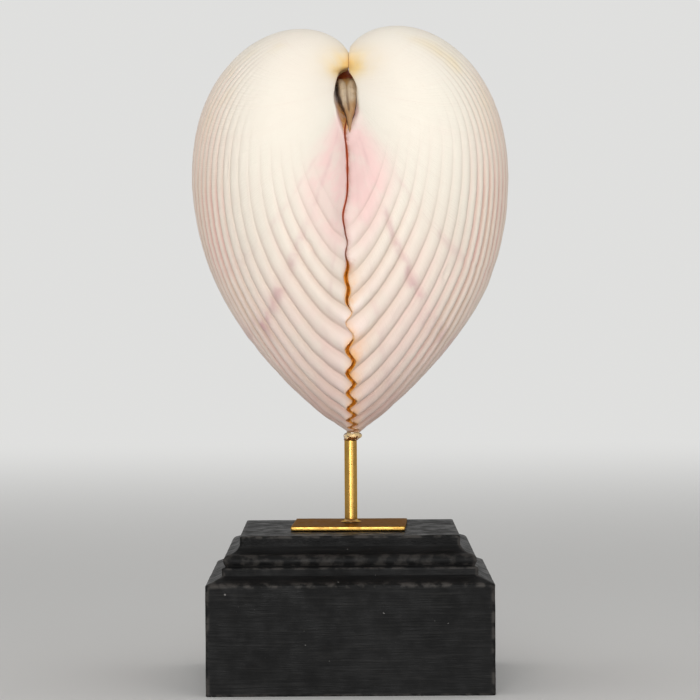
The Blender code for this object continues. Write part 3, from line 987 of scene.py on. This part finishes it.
def turned(profile, segments, x):
    """Turns a profile of (radius, height) about an upright axis, from its top to its foot."""
    bm = bmesh.new()
    points = [bm.verts.new((radius, 0.0, height)) for radius, height in profile]
    edges = [bm.edges.new(pair) for pair in zip(points, points[1:])]
    bmesh.ops.spin(
        bm, geom=points + edges, cent=(0, 0, 0), axis=(0, 0, 1), angle=math.tau,
        steps=segments, use_merge=True,
    )
    bmesh.ops.remove_doubles(bm, verts=bm.verts, dist=0.000002)
    face_outward(bm)
    bmesh.ops.translate(bm, vec=(x, 0.0, 0.0), verts=bm.verts)
    return bm


POST_X = (POST_LOW.x + POST_HIGH.x) / 2
POST_RADIUS = (POST_HIGH.x - POST_LOW.x) / 2


def make_post(material):
    """The round post: its top is cupped to take the shell's lowest edge."""
    top, foot = POST_HIGH.z, POST_LOW.z
    r = POST_RADIUS
    profile = [
        (0.0, top - 1.1 * MM), (0.45 * r, top - 0.95 * MM), (0.72 * r, top - 0.55 * MM),
        (0.86 * r, top - 0.12 * MM), (0.91 * r, top - 0.02 * MM), (0.95 * r, top),
        (0.985 * r, top - 0.06 * MM), (r, top - 0.2 * MM),
    ]
    steps = 24
    for step in range(1, steps):
        height = top - 0.2 * MM - (top - foot - 0.4 * MM) * step / steps
        profile.append((r * (1.0 - 0.004 * math.sin(step * 1.9)), height))
    profile += [(r, foot + 0.2 * MM), (0.97 * r, foot), (0.0, foot)]
    finished("brass_post", turned(profile, 72, POST_X), material, "brass", "brass_post")


def make_solder(material):
    """The ring of solder in the corner between the post and the plate."""
    low, high = SOLDER_LOW.z, SOLDER_HIGH.z
    outer = (SOLDER_HIGH.x - SOLDER_LOW.x) / 2
    inner = POST_RADIUS + 0.02 * MM
    profile = [(inner, high)]
    for step in range(1, 9):
        share = step / 9
        sag = 1.0 - math.sqrt(1.0 - (1.0 - share) ** 2)
        profile.append((inner + (outer - inner) * share, low + (high - low) * sag + 0.05 * MM))
    profile += [(outer, low + 0.08 * MM), (outer - 0.05 * MM, low), (inner, low), (inner, high)]
    bm = turned(profile, 72, POST_X)
    for vert in bm.verts:
        spot = noise.noise(vert.co / (1.3 * MM))
        if vert.co.z > low + 0.04 * MM:
            vert.co.z += 0.09 * MM * spot
    finished("solder_fillet", bm, material, "solder", "solder_fillet")


PLATE_YAW = math.radians(-2.0)
PLATE_SIDE = 36.0 * MM


def make_plate(material):
    """The square brass plate, with worn edges and a slightly uneven face."""
    thickness = PLATE_HIGH.z - PLATE_LOW.z
    bm = bmesh.new()
    bmesh.ops.create_cube(bm, size=1.0)
    bmesh.ops.scale(bm, vec=(PLATE_SIDE, PLATE_SIDE, thickness), verts=bm.verts)
    bmesh.ops.bevel(
        bm, geom=bm.edges[:], offset=0.24 * MM, segments=3, profile=0.5, affect="EDGES", material=-1
    )
    long_edges = [edge for edge in bm.edges if edge.calc_length() > 0.5 * PLATE_SIDE]
    bmesh.ops.subdivide_edges(bm, edges=long_edges, cuts=28, use_grid_fill=True)
    for vert in bm.verts:
        spot = vert.co / (9.0 * MM)
        vert.co.z += 0.035 * MM * noise.noise(spot + Vector((3.0, 0.0, 0.0)))
        vert.co.x += 0.05 * MM * noise.noise(spot + Vector((0.0, 7.0, 0.0)))
        vert.co.y += 0.05 * MM * noise.noise(spot + Vector((0.0, 0.0, 11.0)))
    centre = (PLATE_LOW + PLATE_HIGH) / 2
    bmesh.ops.rotate(bm, cent=(0, 0, 0), matrix=Matrix.Rotation(PLATE_YAW, 3, "Z"), verts=bm.verts)
    bmesh.ops.translate(bm, vec=centre, verts=bm.verts)
    face_outward(bm)
    plate = finished("brass_plate", bm, material, "brass", "brass_plate")
    plate.data.set_sharp_from_angle(angle=math.radians(50))


def make_adhesive(material):
    """The clear bead that holds the shell's lowest edge in the cup of the post."""
    drops = (  # centre from the post's top, radii, in mm
        ((0.5, -0.4, 0.9), (2.5, 2.9, 1.75)),
        ((0.8, -2.6, 1.9), (2.1, 1.5, 2.1)),
        ((2.7, -0.9, 1.1), (1.0, 1.0, 0.9)),
        ((-1.2, 0.6, 0.9), (1.1, 1.5, 1.1)),
        ((0.0, 0.0, -0.2), (2.25, 2.25, 0.8)),
        ((0.8, 2.6, 1.4), (2.0, 1.3, 1.7)),
    )
    bm = bmesh.new()
    for centre, radii in drops:
        made = bmesh.ops.create_icosphere(bm, subdivisions=4, radius=MM)["verts"]
        bmesh.ops.scale(bm, vec=radii, verts=made)
        place = Vector(centre) * MM + Vector((POST_X, 0.0, POST_HIGH.z))
        bmesh.ops.translate(bm, vec=place, verts=made)
    bead = finished("adhesive_bead", bm, material, "clear_adhesive", "adhesive_bead")
    melted = bead.modifiers.new("melted together", "REMESH")
    melted.mode = "VOXEL"
    melted.voxel_size = 0.14 * MM
    melted.use_smooth_shade = True
    settled = bead.modifiers.new("settled", "SMOOTH")
    settled.factor = 0.5
    settled.iterations = 12


PLINTH_HALF = 44.5  # plinth_profile is drawn to this half-width and height, then fitted to the frame
PLINTH_TOP = 48.5
PLINTH_SIDE_STEPS = (-1.0, -0.993, -0.986, -0.978, -0.968, -0.95, -0.9) + tuple(
    -0.8 + 0.1 * step for step in range(17)
) + (0.9, 0.95, 0.968, 0.978, 0.986, 0.993)


def plinth_profile():
    """The plinth's edge from the foot up, as (half-width, height, roughness of sawing, rubbing and
    painted edge highlight).
    """

    def rounded(centre_half, centre_height, radius, start, end, steps, sawn, rub_and_highlight):
        points = []
        for step in range(steps + 1):
            angle = math.radians(start + (end - start) * step / steps)
            half = centre_half + radius * math.cos(angle)
            points.append((half, centre_height + radius * math.sin(angle), sawn, rub_and_highlight))
        return points

    profile = [(43.8, 0.0, 0.0, 0.3)]
    profile += rounded(44.1, 0.4, 0.4, -90, 0, 4, 0.0, 0.6)
    profile += [(44.5, 1.0 + 3.2 * step, 0.0, 0.0) for step in range(11)]
    profile += rounded(43.8, 33.75, 0.7, 0, 68, 6, 0.0, 1.0)
    profile += [(42.6, 35.0, 0.0, 0.1), (41.0, 35.8, 0.0, 0.0), (39.95, 36.35, 0.0, 0.0)]
    profile += [(39.6, 36.65, 0.1, 0.0), (39.6, 37.4, 0.1, 0.0), (39.6, 38.4, 0.1, 0.1)]
    profile += rounded(39.25, 38.75, 0.35, 0, 80, 4, 0.1, 0.7)
    profile += [(38.75, 39.3, 0.0, 0.0), (38.55, 39.5, 0.0, 0.0)]
    profile += rounded(37.2, 41.1, 1.95, -42, 74, 12, 0.15, 0.5)
    profile += [(37.2, 43.15, 0.0, 0.0), (36.4, 43.4, 0.0, 0.0), (35.6, 43.85, 0.0, 0.0)]
    profile += [(34.95, 44.5, 0.0, 0.0), (34.55, 45.15, 0.1, 0.0), (34.25, 45.5, 0.5, 0.0)]
    profile += [(34.2, 46.0, 1.0, 0.0), (34.2, 46.8, 1.0, 0.0), (34.2, 47.6, 1.0, 0.1)]
    profile += rounded(33.65, 47.95, 0.55, 0, 90, 5, 0.6, 0.9)
    profile += [(half, 48.5, 0.2, 0.0) for half in (32.5, 30.0, 26.0, 21.0, 15.0, 9.0, 4.0)]
    return profile


def square_place(number, half, corner):
    """A point on a square with rounded corners."""
    quarter, step = divmod(number, len(PLINTH_SIDE_STEPS))
    place = Vector((half, half * PLINTH_SIDE_STEPS[step], 0.0))
    core = half - corner
    if core > 0 and abs(place.y) > core:
        nearest = Vector((core, math.copysign(core, place.y), 0.0))
        place = nearest + (place - nearest).normalized() * corner
    return Matrix.Rotation(math.radians(90.0) * quarter, 3, "Z") @ place


def make_plinth(material):
    """The stepped and moulded plinth, drawn up ring by ring from its foot."""
    bm = bmesh.new()
    number_of = bm.verts.layers.int.new("number")
    tone = bm.verts.layers.float_color.new("tone")
    verts, edges = first_ring(bm, 4 * len(PLINTH_SIDE_STEPS), number_of)
    wide = PLINTH_HIGH.x / PLINTH_HALF
    high = PLINTH_HIGH.z / PLINTH_TOP
    for level, (half, height, sawn, rub_and_highlight) in enumerate(plinth_profile()):
        if level:
            verts, edges = extruded(bm, edges)
        for vert in verts:
            number = vert[number_of]
            place = square_place(number, half, 0.75)
            place.z = height
            near_corner = abs(PLINTH_SIDE_STEPS[number % len(PLINTH_SIDE_STEPS)])
            # Edges and corners: rubbed, which wears the shape in, and painted lighter, partly as a
            # highlight.
            rubbed_and_highlit = max(rub_and_highlight, 0.8 * eased(near_corner, 0.965, 0.985) if height < 48.4 else 0.0)
            if 0.5 < height < 48.3:
                wear = 0.09 * noise.noise(place / 3.0) + 0.05 * noise.noise(place / 1.1)
                inward = Vector((place.x, place.y, 0.0)).normalized()
                place -= inward * (0.06 + wear * (0.5 + 0.8 * rubbed_and_highlit))
            vert.co = (place.x * wide, place.y * wide, place.z * high)
            vert[tone] = (sawn, 0.0, rubbed_and_highlit, 1.0)
    close_ends(bm)
    plinth = finished("plinth", bm, material, "black_wood", "plinth")
    plinth.data.set_sharp_from_angle(angle=math.radians(40))


# ---- pieces

shell = shell_finish()
make_valve("right_valve", 1, shell)
make_valve("left_valve", -1, shell)
make_ligament(ligament_finish())
make_post(brass_finish("polished_brass", (0.56, 0.33, 0.085), 0.27))
make_plate(brass_finish("brass_sheet", (0.42, 0.25, 0.06), 0.38, (0.2, 0.12, 0.03)))
make_solder(brass_finish("solder_seam", (0.66, 0.46, 0.20), 0.34))
make_adhesive(clear_adhesive())
make_plinth(painted_wood())


# ---- studio


def studio_paper():
    """Pale matt paper that shows shadows near the piece and a plain tone far behind it."""
    material, tree, shader = new_finish("studio_paper", 0.9)
    fed(tree, shader, {"Base Color": (0.66, 0.655, 0.64)})
    path = added(tree, "LightPath")
    seen = combined(tree, "MAXIMUM", path.outputs["Is Camera Ray"], path.outputs["Is Glossy Ray"])
    seen = combined(tree, "MAXIMUM", seen, path.outputs["Is Transmission Ray"])
    split = added(tree, "SeparateXYZ")
    tree.links.new(object_place(tree), split.inputs["Vector"])
    behind = spread(tree, split.outputs["Y"], 0.25, 1.6)
    glow = added(tree, "Emission")
    fed(tree, glow, {"Color": (0.74, 0.74, 0.73)})
    mix = added(tree, "MixShader")
    glowing = times(tree, seen, behind)
    fed(tree, mix, {"Fac": glowing, 1: shader.outputs["BSDF"], 2: glow.outputs["Emission"]})
    fed(tree, tree.nodes["Material Output"], {"Surface": mix.outputs["Shader"]})
    return material


def make_floor():
    """A pale floor that curves up into a backdrop."""
    bm = bmesh.new()
    bmesh.ops.create_grid(bm, x_segments=1, y_segments=1, size=3.0)
    edges = [edge for edge in bm.edges if all(vert.co.y > 0 for vert in edge.verts)]
    bends, radius = 16, 0.8
    length = radius * math.radians(90.0) / bends
    rises = [math.radians(90.0) * (step + 0.5) / bends for step in range(bends)]
    moves = [(0.0, length * math.cos(angle), length * math.sin(angle)) for angle in rises]
    for move in moves + [(0.0, 0.0, 3.0)]:
        verts, edges = extruded(bm, edges)
        bmesh.ops.translate(bm, vec=move, verts=list(verts))
    bmesh.ops.recalc_face_normals(bm, faces=bm.faces)
    floor = linked("studio_floor", smooth_mesh("studio_floor", bm, studio_paper()))


def add_lamp(name, place, aim, width, power):
    """A square soft light that faces a point."""
    lamp = bpy.data.lights.new(name, "AREA")
    lamp.shape = "SQUARE"
    lamp.size = width
    lamp.energy = power
    stand = linked(name, lamp)
    stand.location = place
    stand.rotation_euler = (Vector(aim) - Vector(place)).to_track_quat("-Z", "Y").to_euler()


LAMPS = (  # name, place, the point that it faces, width, watts
    ("key_light", (-0.1, -1.35, 0.27), (0, 0, 0.12), 0.55, 6.8),
    ("fill_light", (0.6, -1.1, 0.16), (0, 0, 0.12), 0.6, 2.3),
    ("low_light", (-0.2, -1.2, 0.03), (0, 0, 0.1), 0.5, 3.0),
    ("top_light", (0.0, 0.1, 1.2), (0, 0, 0.1), 0.9, 1.3),
)
ROOM_LIGHT = 0.58
CAMERA_PLACE = (0.5 * MM, -1.0, 124.2 * MM)
CAMERA_DROP = 1.08  # degrees below level
CAMERA_ROLL = 0.35  # degrees
CAMERA_LENS = 160.7

make_floor()
for lamp in LAMPS:
    add_lamp(*lamp)

world = bpy.data.worlds.new("studio_air")
bpy.context.scene.world = world
world.use_nodes = True
background = world.node_tree.nodes["Background"]
fed(world.node_tree, background, {"Color": (1.0, 1.0, 1.0), "Strength": ROOM_LIGHT})

camera_data = bpy.data.cameras.new("camera")
camera_data.sensor_width = 36.0
camera_data.lens = CAMERA_LENS
camera_data.clip_start = 0.05
camera_data.clip_end = 20.0
camera = linked("camera", camera_data)
camera.location = CAMERA_PLACE
camera.rotation_euler = (math.radians(90.0 - CAMERA_DROP), math.radians(CAMERA_ROLL), 0.0)
bpy.context.scene.camera = camera

bpy.context.scene.view_settings.view_transform = "Standard"
